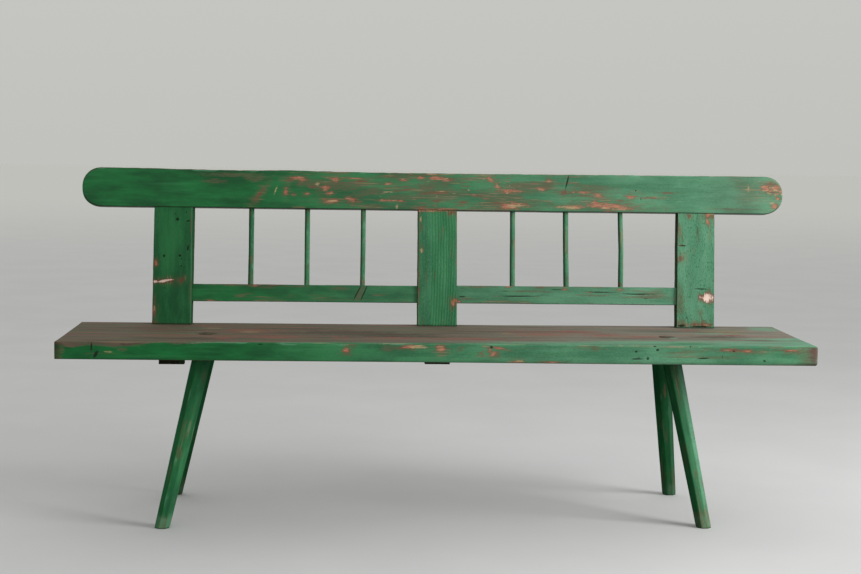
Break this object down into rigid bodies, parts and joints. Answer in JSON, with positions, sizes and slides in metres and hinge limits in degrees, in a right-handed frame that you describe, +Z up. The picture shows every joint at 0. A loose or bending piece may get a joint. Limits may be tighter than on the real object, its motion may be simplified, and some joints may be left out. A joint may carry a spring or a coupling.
{
  "type": "church pew",
  "caption": "Free-standing painted plank bench used as a pew: thick seat plank, splayed octagonal legs, and a leaning back of flat posts, spindles and a round-ended top rail.",
  "frame": {"origin": "on the floor under the middle of the bench's outer box", "axes": "+X along the bench to a viewer's right, +Y from the front edge to the back, +Z up"},
  "size_m": [1.7759, 0.524, 0.8471],
  "materials": {
    "painted_wood": "old green oil paint, satin, chipped to red primer and bare wood",
    "seat_wood": "green paint worn through to grey-brown wood on the sitting surface",
    "bare_wood": "unpainted aged softwood"
  },
  "bodies": {
    "root": {"seat_plank": "seat_wood", "leg_front_left": "painted_wood", "leg_front_right": "painted_wood", "leg_rear_left": "painted_wood", "leg_rear_right": "painted_wood", "wedge_front_left": "bare_wood", "wedge_front_right": "bare_wood", "post_left": "painted_wood", "post_centre": "painted_wood", "post_right": "painted_wood", "post_key_left": "bare_wood", "post_key_centre": "bare_wood", "post_key_right": "bare_wood", "top_rail": "painted_wood", "rail_peg_left": "bare_wood", "rail_peg_centre": "bare_wood", "rail_peg_right": "bare_wood", "lower_rail_left": "painted_wood", "lower_rail_right": "painted_wood", "spindle_1": "painted_wood", "spindle_2": "painted_wood", "spindle_3": "painted_wood", "spindle_4": "painted_wood", "spindle_5": "painted_wood", "spindle_6": "painted_wood"}
  },
  "joints": []
}
